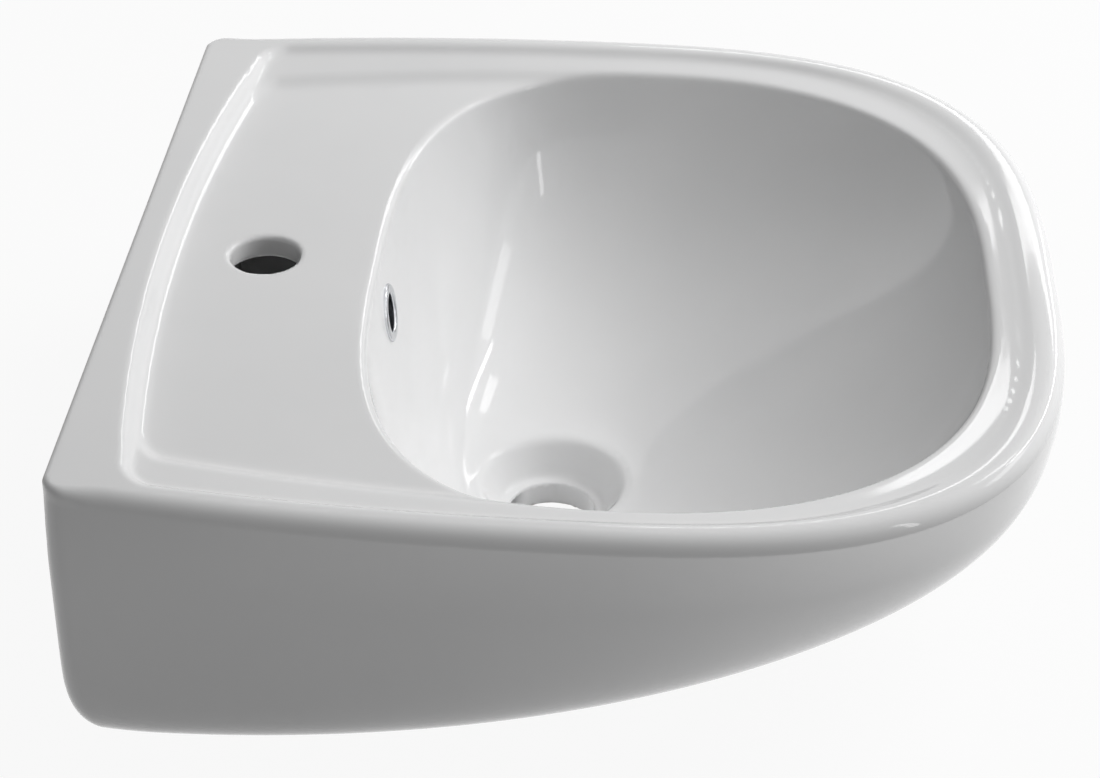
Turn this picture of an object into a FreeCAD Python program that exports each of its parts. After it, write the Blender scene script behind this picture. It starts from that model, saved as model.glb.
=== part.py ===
"""Wall-hung washbasin in glazed vitreous china, with the trim ring of its overflow.

Frame: the flat back lies in the plane Y = 0 with the wall behind it (+Y), the bowl reaches out
to -Y, X runs along the wall and Z points up. The origin is on the back face, midway between the
two wall-fixing holes. "Reach" is a distance from the wall and "drop" a depth below the tap deck,
which lies deck_height above the origin; what stands above the deck has a negative drop.
"""

import FreeCAD, Part
import math
import os

import Sketcher
from FreeCAD import Placement, Rotation, Vector

doc = FreeCAD.newDocument("washbasin")
sheet = doc.addObject("Spreadsheet::Sheet", "sizes")

SIZES = [
    # place on the wall
    ("deck_height", 75),          # tap deck above the wall-fixing holes
    ("fixing_spacing", 280),      # between the two wall-fixing holes
    ("fixing_radius", 7),
    # outer body
    ("body_half_width", 228),     # flank, where it is upright
    ("body_front", 464),          # reach of the foremost point
    ("flank_drop", 40),           # where the flank starts to turn under
    ("front_drop", 20),           # where the front starts to turn under
    ("belly_drop", 172),          # where flank and front would close underneath
    ("belly_reach", 215),
    ("foot_drop", 166),           # flat foot that ends the body
    ("relief_drop", 100),         # below this the back edge leaves the wall
    ("foot_relief", 14),          # how far it has left it at the foot
    ("flank_taper", 4),           # flank drawn in at the wall
    ("back_corner", 12),          # upright rear corners
    # rim
    ("rim_half_width", 237),      # outermost line of the rim
    ("rim_front", 462),
    ("rim_widest", 228),          # reach at which the rim is widest
    ("rim_taper", 18),            # rim drawn in at the wall
    ("rim_rise", 10),             # crest above the tap deck
    ("rim_round", 8),             # round of the outer edge
    ("crest_width", 5.5),         # flat top
    ("bead_width", 4),            # slope from the crest down to the ledge
    ("bead_drop", 4),
    ("ledge_rise", 3.5),          # inner edge of the ledge above the tap deck
    ("back_rim", 16.5),           # reach of the back rim's inner edge, in the middle
    ("back_slope", 6),            # width of its slope down to the deck
    ("back_step", 0.8),           # jog in that slope, level with the ledge
    ("back_bow", 10),             # how far it bows forward at bow_width from the middle
    ("bow_width", 150),
    ("deck_corner", 10),          # rear corners inside the rim
    ("deck_step", 5),             # width of the step from the ledge down to the deck
    ("deck_reach", 208),          # where the deck has run out beside the bowl
    # bowl
    ("bowl_half_width", 204.5),
    ("bowl_back", 124),           # reach of the bowl's rear edge, in the middle
    ("bowl_widest", 252),
    ("bowl_front", 427.5),
    ("bowl_drop", 134),           # where the bowl meets the drain recess
    ("bowl_tilt", 8),             # lean of the rear wall, degrees
    ("ledge_taper", 31),          # inner edge of the ledge drawn in at the wall
    # drain
    ("drain_reach", 213),
    ("recess_radius", 38),
    ("recess_foot_radius", 28),
    ("recess_depth", 18),
    ("waste_radius", 23),
    # tap hole
    ("tap_reach", 66),
    ("tap_radius", 17.5),
    ("tap_flare", 2),
    # overflow
    ("overflow_drop", 32),
    ("overflow_radius", 12),
    ("seat_depth", 0.8),          # flat seat of the ring in the curved wall
    ("duct_half_width", 16),
    ("duct_depth", 12),
    ("duct_outlet", 6),           # height of the duct where it enters the waste outlet
    ("duct_wall", 5),
    # walls of the casting
    ("skin", 11),                 # flank, bowl and belly
    ("back_wall", 14),
    ("deck_slab", 13),
    ("back_wall_drop", 122),      # lower edge of the back wall
    ("opening_half_width", 118),  # service opening underneath
    ("opening_front", 232),
    # overflow ring
    ("ring_radius", 15),
    ("ring_bore", 10),
    ("ring_flange", 2.4),
    ("ring_round", 1.2),          # rounded edge of the flange
    ("ring_sleeve", 13),
    ("ring_fit", 0.15),           # sleeve to hole, on the radius
    ("seat_fit", 0.4),            # flange to the edge of its seat, on the radius
]

for row, (alias, value) in enumerate(SIZES, start=1):
    sheet.set("A%d" % row, alias)
    sheet.set("B%d" % row, str(value))
    sheet.setAlias("B%d" % row, alias)
doc.recompute()


def size(alias):
    return float(sheet.get(alias))


def level(drop):
    """Height in the part's frame of something that lies drop below the tap deck."""
    return size("deck_height") - drop


# ---------------------------------------------------------------- plan outlines
# Every outline is symmetric about X = 0. Half of it is worked out as a row of points
# (x, reach), from the rear to the middle of the front, and then mirrored.

FINE_STEPS = 60           # fine steps along a half outline, before it is thinned out
HALF_KNOTS = 11           # knots kept along a half outline
MARGIN = 2                # by which a cutting shape overshoots what it cuts


def thin_out(points, count):
    """count points spaced evenly along the line through points."""
    run = [0.0]
    for a, b in zip(points, points[1:]):
        run.append(run[-1] + math.dist(a, b))
    kept = []
    k = 0
    for step in range(count):
        target = run[-1] * step / (count - 1)
        while k < len(points) - 2 and run[k + 1] < target:
            k += 1
        share = (target - run[k]) / (run[k + 1] - run[k])
        kept.append(tuple(p + (q - p) * share for p, q in zip(points[k], points[k + 1])))
    return kept


def from_reach(points, start):
    """The part of a half outline that lies beyond a reach."""
    for k, (a, b) in enumerate(zip(points, points[1:])):
        if b[1] > start:
            share = (start - a[1]) / (b[1] - a[1])
            return [(a[0] + (b[0] - a[0]) * share, start)] + points[k + 1:]


def grown(points, amount):
    """The line moved outwards by amount, square to itself."""
    moved = []
    for i, (x, reach) in enumerate(points):
        before = points[max(i - 1, 0)]
        after = points[min(i + 1, len(points) - 1)]
        length = math.dist(before, after)
        across, along = (after[1] - before[1]) / length, (before[0] - after[0]) / length
        moved.append((x + amount * across, reach + amount * along))
    moved[-1] = (0.0, points[-1][1] + amount)
    return moved


def side_line(start, half_width, widest, front, taper, swell, bulge):
    """Half of a D: almost straight as far as widest, then a superellipse round the front."""
    points = []
    for step in range(FINE_STEPS + 1):
        turn = math.pi / 2 * step / FINE_STEPS
        reach = start + (front - start) * math.sin(turn) ** (2 / swell)
        if reach <= widest:
            x = half_width - taper * ((widest - reach) / widest) ** 2
        else:
            share = min(1.0, (reach - widest) / (front - widest))
            x = half_width * (1 - share ** swell) ** (1 / bulge)
        points.append((x, reach))
    return points


def mirrored(half):
    return [(-x, reach) for x, reach in half] + [(x, reach) for x, reach in reversed(half[:-1])]


def curve(points, z, closed=False):
    spline = Part.BSplineCurve()
    spline.interpolate(Points=[Vector(x, -reach, z) for x, reach in points], PeriodicFlag=closed)
    return spline.toShape()


def flat_backed(half, back_at, corner, z):
    """Wire of a back line, two rounded rear corners, and the side line round the front."""
    corner_x = half[0][0]
    inner_x = corner_x - corner
    back = curve([(inner_x * k / 3, back_at(inner_x * k / 3)) for k in range(-3, 4)], z)
    ring = [back]
    for sign in (1, -1):
        inner = Vector(sign * inner_x, -back_at(inner_x), z)
        outer = Vector(sign * corner_x, -half[0][1], z)
        along = Vector(sign * corner * math.sqrt(0.5), corner * math.sqrt(0.5), 0)
        centre = Vector(sign * inner_x, -half[0][1], z)
        ring.append(Part.Arc(inner, centre + along, outer).toShape())
    front = curve(mirrored(thin_out(half, HALF_KNOTS)), z)
    return Part.Wire([ring[0], ring[1], front, ring[2]])


def loft(name, wires, ruled=False):
    """A loft object through wires that are kept as objects of the document."""
    sections = []
    for k, wire in enumerate(wires):
        section = doc.addObject("Part::Feature", "%s_section_%d" % (name, k + 1))
        section.Shape = wire
        sections.append(section)
    solid = doc.addObject("Part::Loft", name)
    solid.Sections = sections
    solid.Solid = True
    solid.Ruled = ruled
    return solid


def box(name, reach_from, reach_to, half_width, drop_from, drop_to):
    """A box across the middle, between two reaches and two drops given as expressions."""
    solid = doc.addObject("Part::Box", name)
    solid.setExpression("Length", "2 * (%s)" % half_width)
    solid.setExpression("Width", "(%s) - (%s)" % (reach_to, reach_from))
    solid.setExpression("Height", "(%s) - (%s)" % (drop_to, drop_from))
    solid.setExpression("Placement.Base.x", "-(%s)" % half_width)
    solid.setExpression("Placement.Base.y", "-(%s)" % reach_to)
    solid.setExpression("Placement.Base.z", "sizes.deck_height - (%s)" % drop_to)
    return solid


def upright_cylinder(name, reach, radius, drop_from, drop_to):
    solid = doc.addObject("Part::Cylinder", name)
    solid.setExpression("Radius", radius)
    solid.setExpression("Height", "(%s) - (%s)" % (drop_to, drop_from))
    solid.setExpression("Placement.Base.y", "-(%s)" % reach)
    solid.setExpression("Placement.Base.z", "sizes.deck_height - (%s)" % drop_to)
    return solid


def upright_cone(name, reach, foot_radius, top_radius, drop_from, drop_to):
    solid = doc.addObject("Part::Cone", name)
    solid.setExpression("Radius1", foot_radius)
    solid.setExpression("Radius2", top_radius)
    solid.setExpression("Height", "(%s) - (%s)" % (drop_to, drop_from))
    solid.setExpression("Placement.Base.y", "-(%s)" % reach)
    solid.setExpression("Placement.Base.z", "sizes.deck_height - (%s)" % drop_to)
    return solid


def fuse(name, shapes):
    solid = doc.addObject("Part::MultiFuse", name)
    solid.Shapes = shapes
    return solid


def cut(name, base, tool):
    solid = doc.addObject("Part::Cut", name)
    solid.Base = base
    solid.Tool = tool
    return solid


# ---------------------------------------------------------------- outer body
# Shape numbers of the superellipses, at the rim and at the foot.
RIM_SWELL, FOOT_SWELL = 2.8, 1.85
RIM_BULGE, FOOT_BULGE = 3.1, 2.5
FLARE = 1.7               # how the flank flares out to the rim
FLANK_TURN, FRONT_TURN = 6, 2.8


def body_wire(drop, inset=0.0):
    """Section of the body, or of the hollow that lies inset within its walls."""
    bottom = size("belly_drop") - inset
    flank_at, front_at = size("flank_drop"), size("front_drop")
    rim_at = size("rim_round") - size("rim_rise")
    half_width, front, taper = size("body_half_width"), size("body_front"), size("flank_taper")
    if drop < flank_at:
        flare = ((flank_at - drop) / (flank_at - rim_at)) ** FLARE
        half_width += (size("rim_half_width") - half_width) * flare
        taper += (size("rim_taper") - taper) * flare
    if drop < front_at:
        front += (size("rim_front") - front) * ((front_at - drop) / (front_at - rim_at)) ** 2
    half_width -= inset
    front -= inset
    if drop > flank_at:
        half_width *= math.sqrt(1 - ((drop - flank_at) / (bottom - flank_at)) ** FLANK_TURN)
    if drop > front_at:
        turned = ((drop - front_at) / (bottom - front_at)) ** FRONT_TURN
        front -= (front - size("belly_reach")) * turned
    share = (drop - rim_at) / (size("foot_drop") - rim_at)
    widest = size("rim_widest") * (1 - share)
    swell = RIM_SWELL + (FOOT_SWELL - RIM_SWELL) * share
    bulge = RIM_BULGE + (FOOT_BULGE - RIM_BULGE) * share
    back = size("back_wall") if inset else -MARGIN
    if drop > size("relief_drop"):
        fall = (drop - size("relief_drop")) / (size("foot_drop") - size("relief_drop"))
        back += (size("foot_relief") + MARGIN) * fall ** 2
    half = side_line(back + size("back_corner"), half_width, max(widest, MARGIN), front,
                     taper, swell, bulge)
    return flat_backed(half, lambda x: back, size("back_corner"), level(drop))


def rim_line():
    """Outermost line of the rim, starting at the wall."""
    return side_line(0.0, size("rim_half_width"), size("rim_widest"), size("rim_front"),
                     size("rim_taper"), RIM_SWELL, RIM_BULGE)


def rim_wire(turn):
    """Section of the rim's rounded outer edge, from 0 at its widest to 90 at the crest."""
    angle = math.radians(turn)
    inset = size("rim_round") * (1 - math.cos(angle))
    drop = size("rim_round") * (1 - math.sin(angle)) - size("rim_rise")
    half = from_reach(grown(rim_line(), -inset), size("back_corner") - MARGIN)
    return flat_backed(half, lambda x: -MARGIN, size("back_corner"), level(drop))


turn_drops = [size("flank_drop") + (size("foot_drop") - size("flank_drop")) * share
              for share in (0.25, 0.5, 0.7, 0.85, 0.94, 1)]
upper_drops = [size("front_drop") / 2, size("front_drop"), size("flank_drop")]
body_loft = loft("body_loft", [rim_wire(0)] + [body_wire(drop) for drop in upper_drops + turn_drops])
rim_loft = loft("rim_loft", [rim_wire(turn) for turn in (0, 22.5, 45, 67.5, 90)])
# All that overshot the plane of the back is cut away by a box as large as the wall behind it.
wall_box = box("wall_box", "-sizes.back_wall", "0", "2 * sizes.rim_half_width",
               "-2 * sizes.rim_rise", "2 * sizes.belly_drop")
body_blank = cut("body_blank", fuse("body_and_rim", [body_loft, rim_loft]), wall_box)


# ---------------------------------------------------------------- sunk top
# The top sinks in two stages: down the bead to the ledge that runs all round the bowl, and
# behind the bowl down one more step to the tap deck.
LEDGE_SWELL, LEDGE_BULGE = 2.25, 2.96


def ledge_line():
    """Inner edge of the ledge, which is the bowl's edge from the widest point forward."""
    return side_line(0.0, size("bowl_half_width"), size("bowl_widest"), size("bowl_front"),
                     size("ledge_taper"), LEDGE_SWELL, LEDGE_BULGE)


def back_rim_at(rise):
    """The back rim's bowed slope: reach at x of the line that lies rise above the deck."""
    middle = size("back_rim") + size("back_slope") * (1 - rise / size("rim_rise"))
    return lambda x: middle + size("back_bow") * (x / size("bow_width")) ** 2


def top_wire(line, rise):
    back_at = back_rim_at(rise)
    corner = size("deck_corner")
    start = back_at(line[0][0]) + corner
    return flat_backed(from_reach(line, start), back_at, corner, level(-rise))


def deck_wire(line, rise):
    """As top_wire, but ended straight across the bowl at deck_reach."""
    rim_at = back_rim_at(rise)

    def back_at(x):
        return rim_at(x) + size("back_step")

    corner = size("deck_corner")
    z = level(-rise)
    half = from_reach(line, back_at(line[0][0]) + corner)
    rear = flat_backed(half, back_at, corner, z).Edges
    side = [p for p in half if p[1] < size("deck_reach")]
    side.append((from_reach(half, size("deck_reach"))[0]))
    side = thin_out(side, HALF_KNOTS // 2)
    right = curve(side, z)
    left = curve([(-x, reach) for x, reach in reversed(side)], z)
    across = Part.LineSegment(Vector(side[-1][0], -side[-1][1], z),
                              Vector(-side[-1][0], -side[-1][1], z)).toShape()
    return Part.Wire([rear[0], rear[1], right, across, left, rear[3]])


crest_line = grown(rim_line(), -size("rim_round") - size("crest_width"))
foot_line = grown(crest_line, -size("bead_width"))
foot_rise = size("rim_rise") - size("bead_drop")
above_rise = size("rim_rise") + MARGIN

# The ledge is cut a little past its inner edge, and the step to the deck a little above it, so
# that each surface is trimmed by the next.
ledge_width = foot_line[0][0] - ledge_line()[0][0]
ledge_fall = (foot_rise - size("ledge_rise")) / ledge_width
past = 2 * size("deck_step")
ledge_well = loft("ledge_well", [
    top_wire(crest_line, above_rise), top_wire(crest_line, size("rim_rise")),
    top_wire(foot_line, foot_rise),
    top_wire(grown(ledge_line(), -past), size("ledge_rise") - past * ledge_fall)], ruled=True)
step_rise = size("ledge_rise") / size("deck_step")
deck_well = loft("deck_well", [
    deck_wire(grown(ledge_line(), MARGIN), size("ledge_rise") + MARGIN * step_rise),
    deck_wire(grown(ledge_line(), -size("deck_step")), 0)], ruled=True)


# ---------------------------------------------------------------- bowl
REAR_SWELL, REAR_BULGE = 2.75, 3      # plan of the bowl's rear edge
FLANK_FALL, FLANK_FILL = 2.2, 1.6     # the side walls: upright at the top, full below
FRONT_FALL = 1.25                     # the front wall is a long slope
REAR_FALL = 5                         # the rear wall drops almost straight to the floor
BOWL_LEVELS = 8


def bowl_oval(share, grow=0.0):
    """Section of the bowl at a share of its depth, or of its wall's outside at grow."""
    drop = share * (size("bowl_drop") + grow)
    floor_radius = size("recess_radius") + grow
    middle = size("drain_reach") + (size("bowl_widest") - size("drain_reach")) * (1 - share)
    spread = size("bowl_half_width") + grow - floor_radius
    half_width = floor_radius + spread * (1 - share ** FLANK_FALL) ** (1 / FLANK_FILL)
    floor_front = size("drain_reach") + floor_radius
    slope = size("bowl_front") + grow - floor_front
    front = floor_front + slope * (1 - share ** FRONT_FALL) ** (1 / FRONT_FALL)
    rear = size("bowl_back") - grow + drop * math.tan(math.radians(size("bowl_tilt")))
    rear += (size("drain_reach") - floor_radius - rear) * (1 - math.sqrt(1 - share ** REAR_FALL))
    half = []
    for step in range(-FINE_STEPS, FINE_STEPS + 1):
        turn = math.pi / 2 * step / FINE_STEPS
        swell, bulge = (REAR_SWELL, REAR_BULGE) if step < 0 else (LEDGE_SWELL, LEDGE_BULGE)
        swell, bulge = swell + (2 - swell) * share, bulge + (2 - bulge) * share
        length = front - middle if step > 0 else middle - rear
        reach = middle + math.copysign(length * abs(math.sin(turn)) ** (2 / swell), step)
        x = half_width * max(0.0, math.cos(turn)) ** (2 / bulge)
        half.append((0.0 if abs(step) == FINE_STEPS else x, reach))
    half = thin_out(half, HALF_KNOTS + 2)
    ring = [(-x, reach) for x, reach in half[1:]] + [(x, reach) for x, reach in reversed(half[1:-1])]
    return drop, [half[0]] + ring


def oval_wire(share, grow=0.0, drop=None):
    own_drop, ring = bowl_oval(share, grow)
    return Part.Wire([curve(ring, level(own_drop if drop is None else drop), closed=True)])


bowl_shares = [math.sin(math.pi / 2 * k / BOWL_LEVELS) for k in range(BOWL_LEVELS + 1)]
bowl_loft = loft("bowl_loft", [oval_wire(share) for share in bowl_shares])
mouth_loft = loft("mouth_loft", [oval_wire(0, drop=0.0), oval_wire(0, drop=-above_rise)], ruled=True)
shell_loft = loft("shell_loft", [oval_wire(share, size("skin")) for share in bowl_shares])

recess = upright_cone("recess", "sizes.drain_reach", "sizes.recess_foot_radius", "sizes.recess_radius",
                      "sizes.bowl_drop", "sizes.bowl_drop + sizes.recess_depth")
waste_hole = upright_cylinder("waste_hole", "sizes.drain_reach", "sizes.waste_radius",
                              "sizes.bowl_drop", "sizes.foot_drop + sizes.skin")

# ---------------------------------------------------------------- hollow underneath
boss = upright_cylinder("boss", "sizes.drain_reach", "sizes.recess_foot_radius + sizes.skin",
                        "sizes.bowl_drop - sizes.skin", "sizes.foot_drop + sizes.skin")
inner_drops = [size("deck_slab")] + [drop for drop in upper_drops if drop > size("deck_slab")]
inner_foot = size("belly_drop") - 2 * size("skin")
inner_drops += [size("flank_drop") + (inner_foot - size("flank_drop")) * share
                for share in (0.3, 0.55, 0.75, 0.9, 1)]
inner_loft = loft("inner_loft", [body_wire(drop, size("skin")) for drop in inner_drops])
opening = box("service_opening", "sizes.back_wall", "sizes.opening_front", "sizes.opening_half_width",
              "sizes.relief_drop", "sizes.belly_drop")
rear_opening = box("rear_opening", "-sizes.back_wall", "2 * sizes.back_wall",
                   "sizes.opening_half_width", "sizes.back_wall_drop", "sizes.belly_drop")

# The overflow duct runs down behind the bowl and forward into the waste outlet.
duct_front = "sizes.bowl_back - sizes.skin / 2"
duct_back = duct_front + " - sizes.duct_depth"
duct_foot = "sizes.foot_drop - sizes.duct_wall"
duct_upright = box("duct_upright", duct_back, duct_front, "sizes.duct_half_width",
                   "sizes.deck_slab + sizes.duct_wall", duct_foot)
duct_floor = box("duct_floor", duct_back, "sizes.drain_reach", "sizes.duct_half_width",
                 duct_foot + " - sizes.duct_outlet", duct_foot)
duct_width = "sizes.duct_half_width + sizes.duct_wall"
duct_shell = box("duct_shell", duct_back + " - sizes.duct_wall", duct_front + " + sizes.duct_wall",
                 duct_width, "0", "sizes.foot_drop + sizes.skin")
duct_shoe = box("duct_shoe", duct_back + " - sizes.duct_wall", "sizes.drain_reach", duct_width,
                "sizes.bowl_drop", "sizes.foot_drop + sizes.skin")
kept = fuse("kept_in_hollow", [shell_loft, boss, duct_shell, duct_shoe])
hollow = cut("hollow", fuse("hollow_blank", [inner_loft, opening, rear_opening]), kept)

# ---------------------------------------------------------------- holes
tap_hole = upright_cylinder("tap_hole", "sizes.tap_reach", "sizes.tap_radius",
                            "-sizes.rim_rise", "2 * sizes.deck_slab")
tap_flare = upright_cone("tap_mouth", "sizes.tap_reach", "sizes.tap_radius",
                         "sizes.tap_radius + sizes.tap_flare", "0", "sizes.tap_flare")
fixing_holes = []
for name, side in (("left", -1), ("right", 1)):
    hole = doc.addObject("Part::Cylinder", "fixing_hole_" + name)
    hole.setExpression("Radius", "sizes.fixing_radius")
    hole.setExpression("Height", "2 * sizes.back_wall")
    hole.Placement = Placement(Vector(), Rotation(Vector(1, 0, 0), 90))
    hole.setExpression("Placement.Base.x", "%d * sizes.fixing_spacing / 2" % side)
    hole.setExpression("Placement.Base.y", "sizes.back_wall / 2")
    fixing_holes.append(hole)

# The overflow's seat is a flat in the bowl's leaning rear wall.
seat_reach = ("sizes.bowl_back + sizes.overflow_drop * tan(sizes.bowl_tilt)"
              " - sizes.seat_depth * cos(sizes.bowl_tilt)")
seat_height = "sizes.deck_height - sizes.overflow_drop - sizes.seat_depth * sin(sizes.bowl_tilt)"


def lean_on_seat(obj):
    """Put obj on the overflow's seat, its own +Z pointing into the bowl."""
    obj.Placement = Placement(Vector(), Rotation(Vector(1, 0, 0), 90))
    obj.setExpression("Placement.Rotation.Angle", "90 - sizes.bowl_tilt")
    obj.setExpression("Placement.Base.y", "-(%s)" % seat_reach)
    obj.setExpression("Placement.Base.z", seat_height)


ring_seat = doc.addObject("Part::Cylinder", "ring_seat")
ring_seat.setExpression("Radius", "sizes.ring_radius + sizes.seat_fit")
ring_seat.setExpression("Height", "sizes.seat_depth + sizes.skin")
lean_on_seat(ring_seat)

# The hole runs as far behind the seat as in front of it, and ends inside the duct.
behind = "(sizes.skin + sizes.duct_depth / 2)"
hole_reach = "-(%s) + cos(sizes.bowl_tilt) * %s" % (seat_reach, behind)
hole_height = "%s - sin(sizes.bowl_tilt) * %s" % (seat_height, behind)
overflow_hole = doc.addObject("Part::Cylinder", "overflow_hole")
overflow_hole.setExpression("Radius", "sizes.overflow_radius")
overflow_hole.setExpression("Height", "2 * " + behind)
lean_on_seat(overflow_hole)
overflow_hole.setExpression("Placement.Base.y", hole_reach)
overflow_hole.setExpression("Placement.Base.z", hole_height)

# ---------------------------------------------------------------- basin
cutters = [hollow, ledge_well, deck_well, bowl_loft, mouth_loft, recess, waste_hole, tap_hole,
           tap_flare, duct_upright, duct_floor, ring_seat, overflow_hole] + fixing_holes
basin = body_blank
for cutter in cutters:
    basin = cut("basin_less_" + cutter.Name, basin, cutter)
basin.Label = "basin"

# ---------------------------------------------------------------- overflow ring
ring_body = doc.addObject("PartDesign::Body", "RingBody")
ring_body.Label = "overflow_ring"
profile = ring_body.newObject("Sketcher::SketchObject", "ring_profile")
side_plane = [plane for plane in ring_body.Origin.OriginFeatures if plane.Role == "XZ_Plane"][0]
profile.AttachmentSupport = [(side_plane, "")]
profile.MapMode = "FlatFace"

# The profile's corners go round from the foot of the bore; edges 4 and 6 are the flange's rounds.
bore, sleeve = size("ring_bore"), size("overflow_radius") - size("ring_fit")
outer, flange, edge = size("ring_radius"), size("ring_flange"), size("ring_round")
foot = -size("ring_sleeve")
corners = [(bore, foot), (sleeve, foot), (sleeve, 0), (outer, 0), (outer, flange - edge),
           (outer - edge, flange), (bore + edge, flange), (bore, flange - edge)]
ROUND_FROM = {4: 0, 6: math.pi / 2}
for k, (x, y) in enumerate(corners):
    if k in ROUND_FROM:
        centre = Vector(min(x, outer - edge) if k == 4 else x, flange - edge, 0)
        circle = Part.Circle(centre, Vector(0, 0, 1), edge)
        start_angle = ROUND_FROM[k]
        side = Part.ArcOfCircle(circle, start_angle, start_angle + math.pi / 2)
    else:
        after = corners[(k + 1) % len(corners)]
        side = Part.LineSegment(Vector(x, y, 0), Vector(after[0], after[1], 0))
    profile.addGeometry(side, False)
START, END, ORIGIN = 1, 2, -1
join = Sketcher.Constraint
for k in range(len(corners)):
    following = (k + 1) % len(corners)
    touching = "Tangent" if k in ROUND_FROM or following in ROUND_FROM else "Coincident"
    profile.addConstraint(join(touching, k, END, following, START))
for k in (0, 2, 5):
    profile.addConstraint(join("Horizontal", k))
for k in (1, 3, 7):
    profile.addConstraint(join("Vertical", k))
bound = [
    (join("DistanceX", ORIGIN, START, 0, START, bore), "sizes.ring_bore"),
    (join("DistanceX", ORIGIN, START, 1, START, sleeve), "sizes.overflow_radius - sizes.ring_fit"),
    (join("DistanceX", ORIGIN, START, 3, START, outer), "sizes.ring_radius"),
    (join("DistanceY", 0, START, ORIGIN, START, -foot), "sizes.ring_sleeve"),
    (join("DistanceY", ORIGIN, START, 5, START, flange), "sizes.ring_flange"),
    (join("Radius", 4, edge), "sizes.ring_round"),
    (join("Radius", 6, edge), "sizes.ring_round"),
]
for constraint, expression in bound:
    index = profile.addConstraint(constraint)
    profile.setExpression("Constraints[%d]" % index, expression)
profile.addConstraint(join("PointOnObject", 2, START, ORIGIN))
turned_ring = ring_body.newObject("PartDesign::Revolution", "turned_ring")
turned_ring.Profile = profile
turned_ring.ReferenceAxis = (profile, ["V_Axis"])
turned_ring.Angle = 360
lean_on_seat(ring_body)

# ---------------------------------------------------------------- check and write
doc.recompute()
for obj in doc.Objects:
    if "Invalid" in obj.State or "Error" in obj.State:
        raise RuntimeError("%s did not compute: %s" % (obj.Name, obj.State))

os.makedirs("parts", exist_ok=True)
for piece in (basin, ring_body):
    shape = piece.Shape
    if shape.isNull() or not shape.isValid():
        raise RuntimeError("%s has no valid shape" % piece.Label)
    shape.exportStep("parts/%s.step" % piece.Label)
    extent = shape.optimalBoundingBox(False)
    print("%-14s solids %d  volume %.1f cm3  size %.1f x %.1f x %.1f mm" % (
        piece.Label, len(shape.Solids), shape.Volume / 1000,
        extent.XLength, extent.YLength, extent.ZLength))
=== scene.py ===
import math

import bpy
import numpy as np
from mathutils import Matrix, Vector


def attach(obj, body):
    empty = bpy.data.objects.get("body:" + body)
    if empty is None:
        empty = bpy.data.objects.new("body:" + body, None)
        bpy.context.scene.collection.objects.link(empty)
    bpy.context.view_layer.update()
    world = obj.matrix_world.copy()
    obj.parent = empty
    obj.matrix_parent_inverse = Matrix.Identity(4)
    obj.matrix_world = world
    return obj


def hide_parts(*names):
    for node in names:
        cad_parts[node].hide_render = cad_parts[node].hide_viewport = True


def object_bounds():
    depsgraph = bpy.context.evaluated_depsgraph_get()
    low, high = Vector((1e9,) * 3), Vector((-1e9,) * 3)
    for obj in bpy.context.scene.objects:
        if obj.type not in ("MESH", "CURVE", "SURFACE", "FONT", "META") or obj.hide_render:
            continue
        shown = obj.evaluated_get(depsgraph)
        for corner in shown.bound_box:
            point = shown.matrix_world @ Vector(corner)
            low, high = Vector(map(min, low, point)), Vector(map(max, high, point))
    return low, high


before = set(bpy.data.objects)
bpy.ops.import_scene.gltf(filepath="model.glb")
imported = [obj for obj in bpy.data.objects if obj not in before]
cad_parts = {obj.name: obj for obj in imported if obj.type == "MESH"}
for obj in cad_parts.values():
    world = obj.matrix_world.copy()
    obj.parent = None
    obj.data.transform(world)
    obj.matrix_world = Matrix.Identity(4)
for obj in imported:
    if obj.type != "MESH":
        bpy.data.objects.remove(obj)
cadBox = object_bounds()
print("frame loaded:", sorted(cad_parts))

# Lengths in the dictionaries are millimetres. Reach is the distance from the wall (-Y), x the
# distance from the middle, and rise the height above the tap deck, which is where z is nought
# while the basin is being shaped.
deckHeight = 75.0
flatten = 0.4           # power that turns a superellipse's value into something near a distance


def softMax(a, b, width):
    near = np.maximum(width - np.abs(a - b), 0.0) / width
    return np.maximum(a, b) + near ** 3 * width / 6


def softMin(a, b, width):
    return -softMax(-a, -b, width)


def roundMax(a, b, radius):
    outside = np.hypot(np.maximum(a + radius, 0.0), np.maximum(b + radius, 0.0))
    return np.minimum(np.maximum(a, b), -radius) + outside


def smooth(share):
    return share * share * (3 - 2 * share)


def boxField(*sides):
    field = sides[0]
    for side in sides[1:]:
        field = np.maximum(field, side)
    return field


def dShape(x, reach, halfWidth, widest, front, taper, swell, bulge):
    # nought on a D outline, near enough linear across it
    behind = np.maximum(widest - reach, 0.0) / widest
    ahead = np.maximum(reach - widest, 0.0) / (front - widest)
    across = np.maximum(np.abs(x) + taper * behind ** 2, 0.0) / halfWidth
    return (across ** bulge + ahead ** swell) ** flatten - 1


def sloped(shape, *point, step=0.25):
    # value and gradient of a shape at a point
    middle = shape(*point)
    slopes = []
    for k in range(len(point)):
        moved = list(point)
        moved[k] = moved[k] + step
        slopes.append((shape(*moved) - middle) / step)
    return middle, slopes


def distanceTo(shape, *point):
    # distance from a shape, negative inside it
    middle, slopes = sloped(shape, *point)
    return middle / np.sqrt(sum(slope ** 2 for slope in slopes) + 1e-12)


def planDistance(shape, x, reach):
    # as distanceTo, but corrected once, so that it holds some way in from the line
    middle, (sx, sr) = sloped(shape, x, reach)
    steep = np.hypot(sx, sr) + 1e-9
    away = middle / steep
    return away + distanceTo(shape, x - away * sx / steep, reach - away * sr / steep)


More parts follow.
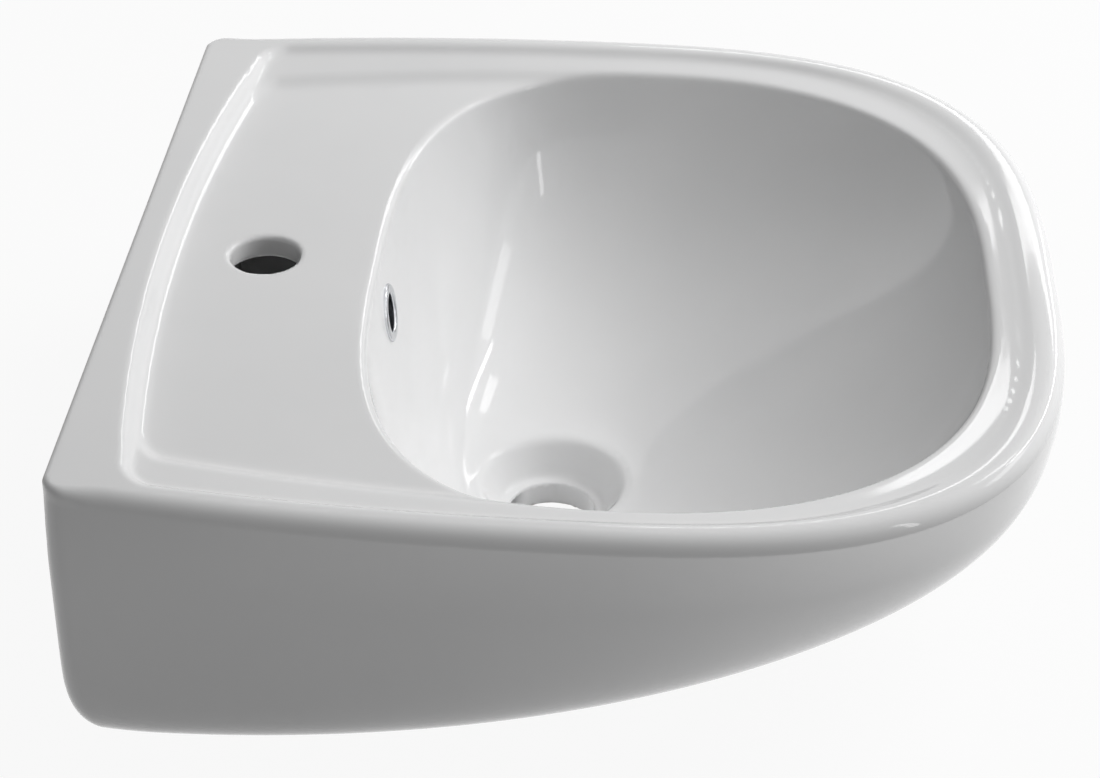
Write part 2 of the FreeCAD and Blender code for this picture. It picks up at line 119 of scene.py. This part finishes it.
body = {
    "halfWidth": 228.0, "front": 464.0,
    "flankTurns": 40.0, "frontTurns": 20.0,         # drops at which flank and front turn under
    "bellyDrop": 172.0, "bellyReach": 215.0, "footDrop": 166.0,
    "reliefDrop": 100.0, "footRelief": 14.0,        # the back edge leaves the wall low down
    "taper": 4.0, "backCorner": 12.0,
    "rimSwell": 2.8, "footSwell": 1.85, "rimBulge": 3.1, "footBulge": 2.5,
    "flare": 1.7, "flankTurn": 6.0, "frontTurn": 2.8,
    "turnsMost": 0.999, "plansMost": 0.99,          # both stop short of one, where the plan closes
    "skin": 11.0, "backWall": 14.0, "slab": 13.0,
}
rim = {
    "halfWidth": 237.0, "front": 462.0, "widest": 228.0, "taper": 18.0,
    "rise": 10.0, "round": 8.0, "backRound": 3.0, "roundGrows": 30.0,
    "crest": 5.5, "bead": 4.0, "frontBead": 9.0,
    "foreFrom": 320.0, "foreTo": 440.0,             # reach over which the bead widens
    "beadDrop": 4.0, "ledgeRise": 3.5, "crestEase": 3.5, "beadEase": 3.5,
    "ledgeLeast": 5.0, "acrossMost": 1.5,           # keep the ledge's slope in bounds
    "backReach": 16.5, "backSlope": 6.0, "backBow": 10.0, "bowWidth": 150.0,
    "corner": 10.0, "step": 5.0, "stepEase": 3.0, "deckEase": 5.0,
}
bowl = {
    "halfWidth": 204.5, "back": 124.0, "widest": 252.0, "front": 427.5, "drop": 134.0,
    "tilt": 8.0, "ledgeTaper": 31.0, "swell": 2.25, "rearSwell": 2.75, "bulge": 2.97,
    "flankFall": 2.2, "flankFill": 1.6, "frontFall": 1.25, "rearFall": 5.0,
    "edgeEase": 6.0, "floorEase": 4.0, "floorAt": 0.99,
}


def rimOutline(x, reach):
    return dShape(x, reach, rim["halfWidth"], rim["widest"], rim["front"], rim["taper"],
                  body["rimSwell"], body["rimBulge"])


def ledgeOutline(x, reach):
    return dShape(x, reach, bowl["halfWidth"], bowl["widest"], bowl["front"], bowl["ledgeTaper"],
                  bowl["swell"], bowl["bulge"])


def bodyShape(x, reach, z):
    drop = -z
    rimAt = rim["round"] - rim["rise"]
    flare = np.clip((body["flankTurns"] - drop) / (body["flankTurns"] - rimAt), 0, 1) ** body["flare"]
    nose = np.clip((body["frontTurns"] - drop) / (body["frontTurns"] - rimAt), 0, 1) ** 2
    halfWidth = body["halfWidth"] + (rim["halfWidth"] - body["halfWidth"]) * flare
    taper = body["taper"] + (rim["taper"] - body["taper"]) * flare
    front = body["front"] + (rim["front"] - body["front"]) * nose
    flankShare = (drop - body["flankTurns"]) / (body["bellyDrop"] - body["flankTurns"])
    flankShare = np.clip(flankShare, 0, body["turnsMost"])
    frontShare = (drop - body["frontTurns"]) / (body["bellyDrop"] - body["frontTurns"])
    frontShare = np.clip(frontShare, 0, body["turnsMost"])
    halfWidth = halfWidth * np.sqrt(1 - flankShare ** body["flankTurn"])
    front = front - (front - body["bellyReach"]) * frontShare ** body["frontTurn"]
    share = np.clip((drop - rimAt) / (body["footDrop"] - rimAt), 0, body["plansMost"])
    swell = body["rimSwell"] + (body["footSwell"] - body["rimSwell"]) * share
    bulge = body["rimBulge"] + (body["footBulge"] - body["rimBulge"]) * share
    return dShape(x, reach, halfWidth, rim["widest"] * (1 - share), front, taper, swell, bulge)


def bowlShape(x, reach, z, grow=0.0):
    # the bowl, or the outside of its wall at grow
    depth = bowl["drop"] + grow
    drop = np.clip(-z, 0, depth * bowl["floorAt"])
    share = drop / depth
    middle = drain["reach"] + (bowl["widest"] - drain["reach"]) * (1 - share)
    fall = (1 - share ** bowl["flankFall"]) ** (1 / bowl["flankFill"])
    floorRadius = drain["recess"] + grow
    halfWidth = floorRadius + (bowl["halfWidth"] + grow - floorRadius) * fall
    floorFront = drain["reach"] + floorRadius
    fall = (1 - share ** bowl["frontFall"]) ** (1 / bowl["frontFall"])
    front = floorFront + (bowl["front"] + grow - floorFront) * fall
    rear = bowl["back"] - grow + drop * math.tan(math.radians(bowl["tilt"]))
    rear = rear + (drain["reach"] - floorRadius - rear) * (1 - np.sqrt(1 - share ** bowl["rearFall"]))
    forward = reach > middle
    swell = np.where(forward, bowl["swell"], bowl["rearSwell"])
    swell = swell + (2 - swell) * share
    bulge = bowl["bulge"] + (2 - bowl["bulge"]) * share
    along = np.where(forward, (reach - middle) / (front - middle), (middle - reach) / (middle - rear))
    return ((np.abs(x) / halfWidth) ** bulge + np.maximum(along, 0.0) ** swell) ** flatten - 1


def sunkTop(x, reach, z):
    # what is taken out of the top down to the ledge and the tap deck
    fore = np.clip((reach - rim["foreFrom"]) / (rim["foreTo"] - rim["foreFrom"]), 0, 1)
    beadWidth = rim["bead"] + (rim["frontBead"] - rim["bead"]) * smooth(fore)
    crest = planDistance(rimOutline, x, reach) + rim["round"] + rim["crest"]
    ledge = planDistance(ledgeOutline, x, reach)
    steep = rim["beadDrop"] / beadWidth
    bead = (rim["rise"] + crest * steep - z) / np.hypot(1, steep)
    backAt = rim["backReach"] + rim["backSlope"] * (1 - z / rim["rise"])
    backAt = backAt + rim["backBow"] * (x / rim["bowWidth"]) ** 2
    back = (backAt - reach) / math.hypot(1, rim["backSlope"] / rim["rise"])
    footRise = rim["rise"] - rim["beadDrop"]
    inward = -crest - beadWidth
    across = np.clip(inward / np.maximum(inward + ledge, rim["ledgeLeast"]), 0, rim["acrossMost"])
    ledgeTop = footRise - (footRise - rim["ledgeRise"]) * across
    upper = softMax(roundMax(bead, back, rim["corner"]), ledgeTop - z, rim["beadEase"])
    steep = rim["ledgeRise"] / rim["step"]
    step = (rim["ledgeRise"] + steep * ledge - z) / math.hypot(1, steep)
    lower = softMax(roundMax(step, back, rim["corner"]), -z, rim["deckEase"])
    return softMin(upper, lower, rim["stepEase"])


def outerBody(side, reach, z):
    relief = body["footRelief"] * (np.maximum(-z - body["reliefDrop"], 0.0)
                                   / (body["footDrop"] - body["reliefDrop"])) ** 2
    outer = roundMax(side, relief - reach, body["backCorner"])
    grown = smooth(np.clip(reach / rim["roundGrows"], 0, 1))
    topRound = rim["backRound"] + (rim["round"] - rim["backRound"]) * grown
    outer = roundMax(outer, z - rim["rise"], topRound)
    return softMax(outer, -body["footDrop"] - z, under["ease"])


drain = {
    "reach": 213.0, "recess": 38.0, "recessFoot": 28.0, "recessDepth": 18.0, "recessRises": 8.0,
    "waste": 23.0, "recessEase": 6.0, "footEase": 5.0, "wasteEase": 2.5,
}


def drainRecess(fromDrain, z):
    flareUp = (drain["recess"] - drain["recessFoot"]) / drain["recessDepth"]
    recessFloor = bowl["drop"] + drain["recessDepth"]
    cone = fromDrain - drain["recessFoot"] - flareUp * (z + recessFloor)
    recess = softMax(cone / math.hypot(1, flareUp), -recessFloor - z, drain["footEase"])
    return np.maximum(recess, z + bowl["drop"] - drain["recessRises"])


under = {
    "openingHalfWidth": 118.0, "openingFront": 232.0, "backWallDrop": 122.0, "ease": 5.0,
    "bossWall": 11.0, "ductHalfWidth": 16.0, "ductDepth": 12.0, "ductOutlet": 6.0, "ductWall": 5.0,
}


def ductBounds():
    front = bowl["back"] - body["skin"] / 2
    return front - under["ductDepth"], front


def underHollow(x, reach, z, side, fromDrain):
    # the hollow underneath, less what is kept of the bowl's shell, the boss and the duct
    inner = boxField(side + body["skin"], body["backWall"] - reach, z + body["slab"])
    opening = boxField(np.abs(x) - under["openingHalfWidth"], body["backWall"] - reach,
                       reach - under["openingFront"], z + body["reliefDrop"])
    rearOpening = boxField(np.abs(x) - under["openingHalfWidth"], reach - 2 * body["backWall"],
                           z + under["backWallDrop"])
    hollow = softMin(softMin(inner, opening, under["ease"]), rearOpening, under["ease"])
    shell = distanceTo(lambda *point: bowlShape(*point, body["skin"]), x, reach, z)
    shell = softMax(shell, -bowl["drop"] - body["skin"] - z, under["ease"])
    boss = fromDrain - drain["recessFoot"] - under["bossWall"]
    ductBack, ductFront = ductBounds()
    wide = np.abs(x) - under["ductHalfWidth"]
    duct = boxField(wide, ductBack - reach, reach - ductFront) - under["ductWall"]
    shoe = boxField(wide - under["ductWall"], ductBack - under["ductWall"] - reach,
                    reach - drain["reach"], z + bowl["drop"])
    kept = softMin(softMin(shell, boss, under["ease"]), np.minimum(duct, shoe), under["ease"])
    return softMax(hollow, -kept, under["ease"])


def ductBore(x, reach, z):
    # down behind the bowl, then forward into the waste outlet
    ductBack, ductFront = ductBounds()
    wide = np.abs(x) - under["ductHalfWidth"]
    foot = body["footDrop"] - under["ductWall"]
    channel = boxField(wide, ductBack - reach, reach - ductFront,
                       z + body["slab"] + under["ductWall"], -foot - z)
    outlet = boxField(wide, ductBack - reach, reach - drain["reach"],
                      z + foot - under["ductOutlet"], -foot - z)
    return np.minimum(channel, outlet)


holes = {
    "tapReach": 66.0, "tap": 17.5, "tapEase": 4.5, "overflowDrop": 32.0, "overflow": 12.0,
    "overflowDepth": 17.0, "fixingSpacing": 280.0, "fixing": 7.0, "fixingEase": 1.5,
}


def overflowHole(x, reach, z):
    # square to the bowl's leaning rear wall
    tilt = math.radians(bowl["tilt"])
    fromSeat = reach - bowl["back"] - holes["overflowDrop"] * math.tan(tilt)
    below = z + holes["overflowDrop"]
    along = fromSeat * math.cos(tilt) + below * math.sin(tilt)
    off = np.hypot(x, below * math.cos(tilt) - fromSeat * math.sin(tilt))
    return boxField(off - holes["overflow"], -holes["overflowDepth"] - along,
                    along - holes["overflowDepth"])


def basinField(x, reach, z):
    # below nought in the china, above nought outside it
    side = distanceTo(bodyShape, x, reach, z)
    china = softMax(outerBody(side, reach, z), -sunkTop(x, reach, z), rim["crestEase"])
    wall = distanceTo(bowlShape, x, reach, z)
    floor = -bowl["drop"] * bowl["floorAt"] - z
    china = softMax(china, -softMax(wall, floor, bowl["floorEase"]), bowl["edgeEase"])
    fromDrain = np.hypot(x, reach - drain["reach"])
    china = softMax(china, -drainRecess(fromDrain, z), drain["recessEase"])
    china = softMax(china, -underHollow(x, reach, z, side, fromDrain), under["ease"])
    china = np.maximum(china, -ductBore(x, reach, z))
    waste = np.maximum(fromDrain - drain["waste"], z + bowl["drop"])
    china = softMax(china, -waste, drain["wasteEase"])
    tap = np.maximum(np.hypot(x, reach - holes["tapReach"]) - holes["tap"], -2 * body["slab"] - z)
    china = softMax(china, -tap, holes["tapEase"])
    fixing = np.hypot(np.abs(x) - holes["fixingSpacing"] / 2, z + deckHeight) - holes["fixing"]
    china = softMax(china, -np.maximum(fixing, reach - 2 * body["backWall"]), holes["fixingEase"])
    return np.maximum(china, -overflowHole(x, reach, z))


meshing = {
    "cell": 2.0, "quickCell": 3.0,                  # size of the basin's faces
    "coarseCell": 12.0, "nearBand": 26.4,           # where the surface can't be, the field is coarse
    "low": (-248, -16, -176), "high": (248, 474, 20),
    "slideStep": 0.02, "longestSlide": 1.2, "normalStep": 0.5,
}


def fieldOnGrid(field, low, high, cell, block):
    # the field is worked out on every grid point near the surface, and coarsely elsewhere
    coarse = cell * block
    counts = [int(math.ceil((b - a) / coarse)) + 1 for a, b in zip(low, high)]
    axes = [a + coarse * np.arange(n) for a, n in zip(low, counts)]
    rough = field(*np.meshgrid(*axes, indexing="ij"))
    near = np.abs(rough) < meshing["nearBand"]
    for axis in range(3):
        turned = np.diff(rough < 0, axis=axis)
        for side in (0, 1):
            pad = [(0, 0)] * 3
            pad[axis] = (side, 1 - side)
            near |= np.pad(turned, pad)
    values = rough.repeat(block, 0).repeat(block, 1).repeat(block, 2).astype(np.float32)
    wanted = near.repeat(block, 0).repeat(block, 1).repeat(block, 2)
    fine = [a + cell * (np.arange(n * block) - block // 2) for a, n in zip(low, counts)]
    picked = np.argwhere(wanted)
    points = [fine[k][picked[:, k]] for k in range(3)]
    values[wanted] = field(*points)
    return values, [axis[0] for axis in fine]


def surfaceNet(values):
    # one vertex in each cell that the surface passes through, one face on each edge it crosses
    inside = values < 0
    cells = np.zeros(tuple(n - 1 for n in values.shape), np.int8)
    total = np.zeros(cells.shape + (3,), np.float32)
    count = np.zeros(cells.shape, np.float32)
    corner = [(i, j, k) for i in (0, 1) for j in (0, 1) for k in (0, 1)]

    def cut(array, offset):
        return array[tuple(slice(o, o + n) for o, n in zip(offset, cells.shape))]

    for start in corner:
        cells += cut(inside, start)
        for axis in range(3):
            if start[axis]:
                continue
            end = tuple(o + (k == axis) for k, o in enumerate(start))
            a, b = cut(values, start), cut(values, end)
            crossed = (a < 0) != (b < 0)
            share = np.where(crossed, a / np.where(crossed, a - b, 1), 0)
            for k in range(3):
                total[..., k] += np.where(crossed, start[k] + (share if k == axis else 0), 0)
            count += crossed
    mixed = (cells > 0) & (cells < 8)
    number = np.full(cells.shape, -1, np.int64)
    number[mixed] = np.arange(mixed.sum())
    vertices = np.argwhere(mixed) + total[mixed] / count[mixed][:, None]
    faces = []
    for axis in range(3):
        u, v = (axis + 1) % 3, (axis + 2) % 3
        edge = [slice(1, -1)] * 3
        edge[axis] = slice(0, -1)
        after = list(edge)
        after[axis] = slice(1, None)
        a, b = inside[tuple(edge)], inside[tuple(after)]
        for found, flip in ((a & ~b, False), (~a & b, True)):
            at = np.argwhere(found) + [0 if k == axis else 1 for k in range(3)]
            ring = []
            for du, dv in ((0, 0), (-1, 0), (-1, -1), (0, -1)):
                cell = at.copy()
                cell[:, u] += du
                cell[:, v] += dv
                ring.append(number[tuple(cell.T)])
            quad = np.stack(ring[::-1] if flip else ring, 1)
            faces.append(quad)
    return vertices, np.concatenate(faces)


def settle(field, points, rounds=3):
    # slide the vertices onto the surface, and give its normals there
    for _ in range(rounds):
        value, slopes = sloped(field, *points.T, step=meshing["slideStep"])
        slopes = np.stack(slopes, 1)
        length2 = (slopes ** 2).sum(1) + 1e-9
        shift = np.clip(value / np.sqrt(length2), -meshing["longestSlide"], meshing["longestSlide"])
        points = points - slopes * (shift / np.sqrt(length2))[:, None]
    ahead = np.stack(sloped(field, *points.T, step=meshing["normalStep"])[1], 1)
    behind = np.stack(sloped(field, *points.T, step=-meshing["normalStep"])[1], 1)
    slopes = ahead + behind
    return points, slopes / np.linalg.norm(slopes, axis=1, keepdims=True)


def makeBasin():
    cell = meshing["cell"]
    block = int(meshing["coarseCell"] / cell)
    values, start = fieldOnGrid(basinField, meshing["low"], meshing["high"], cell, block)
    net, faces = surfaceNet(values)
    points = net * cell + np.array(start)
    points, normals = settle(basinField, points)
    toFrame = np.array((1, -1, 1)) * 0.001          # millimetres to metres, and reach to -Y
    points = (points + np.array((0, 0, deckHeight))) * toFrame
    mesh = bpy.data.meshes.new("glazedBasin")
    mesh.from_pydata(points.tolist(), [], faces[:, ::-1].tolist())
    mesh.polygons.foreach_set("use_smooth", np.ones(len(faces), bool))
    mesh.normals_split_custom_set_from_vertices((normals * (1, -1, 1)).tolist())
    mesh.update()
    made = bpy.data.objects.new("glazedBasin", mesh)
    bpy.context.scene.collection.objects.link(made)
    print("basin mesh: %d vertices, %d faces" % (len(points), len(faces)))
    return made


def newMaterial(name):
    material = bpy.data.materials.new(name)
    material.use_nodes = True
    material.node_tree.nodes.clear()
    return material, material.node_tree.nodes, material.node_tree.links


def newGroup(name, takes, gives):
    group = bpy.data.node_groups.new(name, "ShaderNodeTree")
    for label, kind in takes:
        group.interface.new_socket(name=label, in_out="INPUT", socket_type="NodeSocket" + kind)
    for label, kind in gives:
        group.interface.new_socket(name=label, in_out="OUTPUT", socket_type="NodeSocket" + kind)
    start = group.nodes.new("NodeGroupInput")
    end = group.nodes.new("NodeGroupOutput")
    return group, group.nodes, group.links, start, end


mottleNoise = {
    "driftDetail": 3, "driftRoughness": 0.55, "waveDetail": 1.5,
    "spreadFrom": 0.3, "spreadTo": 0.7,             # drift that counts as wholly pale and wholly deep
}


def makeMottle():
    # slow drift between two colours and two roughnesses, and the height of a faint waviness
    group, nodes, links, start, end = newGroup(
        "mottle", [("Scale", "Float"), ("Wave Scale", "Float"), ("Pale", "Color"), ("Deep", "Color"),
                   ("Smooth", "Float"), ("Dull", "Float")],
        [("Color", "Color"), ("Roughness", "Float"), ("Height", "Float")])
    place = nodes.new("ShaderNodeTexCoord")
    drift = nodes.new("ShaderNodeTexNoise")
    drift.inputs["Detail"].default_value = mottleNoise["driftDetail"]
    drift.inputs["Roughness"].default_value = mottleNoise["driftRoughness"]
    wave = nodes.new("ShaderNodeTexNoise")
    wave.inputs["Detail"].default_value = mottleNoise["waveDetail"]
    tint = nodes.new("ShaderNodeMix")
    tint.data_type = "RGBA"
    spread = nodes.new("ShaderNodeMapRange")
    spread.inputs["From Min"].default_value = mottleNoise["spreadFrom"]
    spread.inputs["From Max"].default_value = mottleNoise["spreadTo"]
    dulled = nodes.new("ShaderNodeMix")
    for texture, scale in ((drift, "Scale"), (wave, "Wave Scale")):
        links.new(place.outputs["Object"], texture.inputs["Vector"])
        links.new(start.outputs[scale], texture.inputs["Scale"])
    links.new(drift.outputs["Fac"], spread.inputs["Value"])
    links.new(spread.outputs[0], tint.inputs["Factor"])
    links.new(start.outputs["Pale"], tint.inputs["A"])
    links.new(start.outputs["Deep"], tint.inputs["B"])
    links.new(wave.outputs["Fac"], dulled.inputs["Factor"])
    links.new(start.outputs["Smooth"], dulled.inputs["A"])
    links.new(start.outputs["Dull"], dulled.inputs["B"])
    links.new(tint.outputs["Result"], end.inputs["Color"])
    links.new(dulled.outputs["Result"], end.inputs["Roughness"])
    links.new(wave.outputs["Fac"], end.inputs["Height"])
    return group


def placeMottle(nodes, group, values):
    node = nodes.new("ShaderNodeGroup")
    node.node_tree = group
    for label, value in values.items():
        node.inputs[label].default_value = value
    return node


glazeLook = {
    "mottle": {"Scale": 7, "Wave Scale": 42, "Pale": (0.83, 0.83, 0.832, 1),
               "Deep": (0.795, 0.797, 0.80, 1), "Smooth": 0.045, "Dull": 0.085},
    "waviness": 0.12, "waveHeight": 0.0004,
}
bareLook = {
    "mottle": {"Scale": 30, "Wave Scale": 900, "Pale": (0.72, 0.69, 0.64, 1),
               "Deep": (0.60, 0.56, 0.50, 1), "Smooth": 0.75, "Dull": 0.92},
    "grain": 0.35, "grainHeight": 0.0003,
    "back": (-0.0014, -0.0006), "foot": (-0.0896, -0.0904),     # where the glaze fades out, in m
}


def bareChina(nodes, links):
    # where the glaze stops: the back that meets the wall and the foot that stood in the kiln
    place = nodes.new("ShaderNodeTexCoord")
    split = nodes.new("ShaderNodeSeparateXYZ")
    links.new(place.outputs["Object"], split.inputs[0])
    either = nodes.new("ShaderNodeMath")
    either.operation = "MAXIMUM"
    for k, (axis, fade) in enumerate((("Y", bareLook["back"]), ("Z", bareLook["foot"]))):
        ramp = nodes.new("ShaderNodeMapRange")
        ramp.inputs["From Min"].default_value, ramp.inputs["From Max"].default_value = fade
        links.new(split.outputs[axis], ramp.inputs["Value"])
        links.new(ramp.outputs[0], either.inputs[k])
    return either.outputs[0]


def glazeMaterial(mottle):
    material, nodes, links = newMaterial("whiteGlaze")
    shader = nodes.new("ShaderNodeBsdfPrincipled")
    output = nodes.new("ShaderNodeOutputMaterial")
    glazed = placeMottle(nodes, mottle, glazeLook["mottle"])
    biscuit = placeMottle(nodes, mottle, bareLook["mottle"])
    bare = bareChina(nodes, links)
    colour = nodes.new("ShaderNodeMix")
    colour.data_type = "RGBA"
    rough = nodes.new("ShaderNodeMix")
    for mix, label in ((colour, "Color"), (rough, "Roughness")):
        links.new(bare, mix.inputs["Factor"])
        links.new(glazed.outputs[label], mix.inputs["A"])
        links.new(biscuit.outputs[label], mix.inputs["B"])
    waves = nodes.new("ShaderNodeBump")
    waves.inputs["Strength"].default_value = glazeLook["waviness"]
    waves.inputs["Distance"].default_value = glazeLook["waveHeight"]
    grit = nodes.new("ShaderNodeBump")
    grit.inputs["Distance"].default_value = bareLook["grainHeight"]
    gritty = nodes.new("ShaderNodeMath")
    gritty.operation = "MULTIPLY"
    gritty.inputs[1].default_value = bareLook["grain"]
    links.new(bare, gritty.inputs[0])
    links.new(gritty.outputs[0], grit.inputs["Strength"])
    links.new(glazed.outputs["Height"], waves.inputs["Height"])
    links.new(biscuit.outputs["Height"], grit.inputs["Height"])
    links.new(waves.outputs[0], grit.inputs["Normal"])
    links.new(colour.outputs["Result"], shader.inputs["Base Color"])
    links.new(rough.outputs["Result"], shader.inputs["Roughness"])
    links.new(grit.outputs[0], shader.inputs["Normal"])
    links.new(shader.outputs[0], output.inputs[0])
    return material


ringLook = {
    "mottle": {"Scale": 60, "Wave Scale": 260, "Pale": (0.74, 0.75, 0.77, 1),
               "Deep": (0.62, 0.63, 0.66, 1), "Smooth": 0.10, "Dull": 0.22},
    "waviness": 0.1, "waveHeight": 0.0002,
}


def ringMaterial(mottle):
    material, nodes, links = newMaterial("platedRing")
    shader = nodes.new("ShaderNodeBsdfPrincipled")
    shader.inputs["Metallic"].default_value = 1
    output = nodes.new("ShaderNodeOutputMaterial")
    plated = placeMottle(nodes, mottle, ringLook["mottle"])
    waves = nodes.new("ShaderNodeBump")
    waves.inputs["Strength"].default_value = ringLook["waviness"]
    waves.inputs["Distance"].default_value = ringLook["waveHeight"]
    links.new(plated.outputs["Color"], shader.inputs["Base Color"])
    links.new(plated.outputs["Roughness"], shader.inputs["Roughness"])
    links.new(plated.outputs["Height"], waves.inputs["Height"])
    links.new(waves.outputs[0], shader.inputs["Normal"])
    links.new(shader.outputs[0], output.inputs[0])
    return material


mottle = makeMottle()
basin = makeBasin()
basin.data.materials.append(glazeMaterial(mottle))
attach(basin, "root")
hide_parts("basin")
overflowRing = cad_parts["overflow_ring"]
overflowRing.data.materials.clear()
overflowRing.data.materials.append(ringMaterial(mottle))
print("basin and ring finished")


def makeCamera():
    view = {"azimuth": -86.7145, "elevation": 34.2555, "roll": 0.7666, "distance": 1.23331,
            "target": (-0.10938, -0.21744, 0.075), "lens": 86.196, "sensor": 36.0}
    a, e, roll = (math.radians(view[k]) for k in ("azimuth", "elevation", "roll"))
    back = Vector((math.sin(a) * math.cos(e), -math.cos(a) * math.cos(e), math.sin(e)))
    right = Vector((math.cos(a), math.sin(a), 0))
    up = back.cross(right)
    across = right * math.cos(roll) + up * math.sin(roll)
    upward = up * math.cos(roll) - right * math.sin(roll)
    data = bpy.data.cameras.new("photoCamera")
    data.lens = view["lens"]
    data.sensor_fit = "HORIZONTAL"
    data.sensor_width = view["sensor"]
    camera = bpy.data.objects.new("photoCamera", data)
    turn = Matrix((across, upward, back)).transposed()
    place = Vector(view["target"]) + back * view["distance"]
    camera.matrix_world = Matrix.Translation(place) @ turn.to_4x4()
    bpy.context.scene.collection.objects.link(camera)
    bpy.context.scene.camera = camera


studio = {
    "floorHalf": 4.0, "floorColour": (0.62, 0.62, 0.62, 1), "floorGlow": 0.93,
    "light": (0.175, 0.175, 0.175, 1),              # falls on the china from all round
    "seen": (1, 1, 1, 1),                           # what the camera and reflections see instead
    "lampsAimAt": (0, -0.23, 0.03),
}
lamps = {
    # two ends, width, power, and whether reflections show the lamp
    "keyLamp": (((-0.1, -1.62, 1.8), (1.7, -1.62, 1.8)), 1.5, 42, False),        # main light
    "stripLamp": (((0.485, -1.22, 0.97), (1.16, -1.09, 0.19)), 0.06, 2.2, True),    # strip on the bowl
    "windowLamp": (((0.0, -1.46, 0.73), (0.5, -1.3, 0.78)), 0.24, 1.0, True),          # paler patch
    "leftLamp": (((-0.80, -1.30, 0.15), (-0.76, -1.25, 0.85)), 0.08, 0.8, True),    # far wall of the bowl
    "rightLamp": (((1.34, -1.1, 0.83), (1.34, -0.2, 0.83)), 0.12, 1.2, True),      # line along the front bead
    "frontLamp": (((0.66, -1.08, 1.22), (0.92, -1.08, 1.22)), 0.25, 0.8, True),    # front edge of the rim
}


def lookedAt(nodes, links, share):
    # share where the camera, a reflection or clear glass looks, nought for the light that falls
    path = nodes.new("ShaderNodeLightPath")
    total = path.outputs["Is Camera Ray"]
    for kind in ("Is Glossy Ray", "Is Transmission Ray"):
        both = nodes.new("ShaderNodeMath")
        both.use_clamp = True
        links.new(total, both.inputs[0])
        links.new(path.outputs[kind], both.inputs[1])
        total = both.outputs[0]
    part = nodes.new("ShaderNodeMath")
    part.operation = "MULTIPLY"
    part.inputs[1].default_value = share
    links.new(total, part.inputs[0])
    return part.outputs[0]


def makeFloor():
    mesh = bpy.data.meshes.new("floor")
    far, z = studio["floorHalf"], cadBox[0].z
    mesh.from_pydata([(-far, -far, z), (far, -far, z), (far, far, z), (-far, far, z)], [], [(0, 1, 2, 3)])
    floor = bpy.data.objects.new("floor", mesh)
    bpy.context.scene.collection.objects.link(floor)
    material, nodes, links = newMaterial("paleFloor")
    diffuse = nodes.new("ShaderNodeBsdfDiffuse")
    diffuse.inputs["Color"].default_value = studio["floorColour"]
    glow = nodes.new("ShaderNodeEmission")
    mix = nodes.new("ShaderNodeMixShader")
    output = nodes.new("ShaderNodeOutputMaterial")
    links.new(lookedAt(nodes, links, studio["floorGlow"]), mix.inputs[0])
    links.new(diffuse.outputs[0], mix.inputs[1])
    links.new(glow.outputs[0], mix.inputs[2])
    links.new(mix.outputs[0], output.inputs[0])
    mesh.materials.append(material)


def makeLamp(name, ends, width, power, shines):
    # a long lamp between two ends, turned towards the middle of the basin
    start, end = Vector(ends[0]), Vector(ends[1])
    place = (start + end) / 2
    along = (end - start).normalized()
    back = place - Vector(studio["lampsAimAt"])
    back = (back - along * back.dot(along)).normalized()
    data = bpy.data.lights.new(name, "AREA")
    data.shape = "RECTANGLE"
    data.size, data.size_y = (end - start).length, width
    data.energy = power
    lamp = bpy.data.objects.new(name, data)
    turn = Matrix((along, back.cross(along), back)).transposed()
    lamp.matrix_world = Matrix.Translation(place) @ turn.to_4x4()
    lamp.visible_glossy = shines
    bpy.context.scene.collection.objects.link(lamp)


def makeWorld():
    world = bpy.data.worlds.new("studio")
    world.use_nodes = True
    nodes, links = world.node_tree.nodes, world.node_tree.links
    nodes.clear()
    light = nodes.new("ShaderNodeBackground")
    light.inputs["Color"].default_value = studio["light"]
    seen = nodes.new("ShaderNodeBackground")
    seen.inputs["Color"].default_value = studio["seen"]
    mix = nodes.new("ShaderNodeMixShader")
    output = nodes.new("ShaderNodeOutputWorld")
    links.new(lookedAt(nodes, links, 1), mix.inputs[0])
    links.new(light.outputs[0], mix.inputs[1])
    links.new(seen.outputs[0], mix.inputs[2])
    links.new(mix.outputs[0], output.inputs[0])
    bpy.context.scene.world = world


makeCamera()
makeFloor()
makeWorld()
for name, lamp in lamps.items():
    makeLamp(name, *lamp)
print("stage set")

bpy.context.scene.view_settings.view_transform = "Standard"
bpy.context.view_layer.update()
print("cad box", [tuple(round(v, 4) for v in c) for c in cadBox])
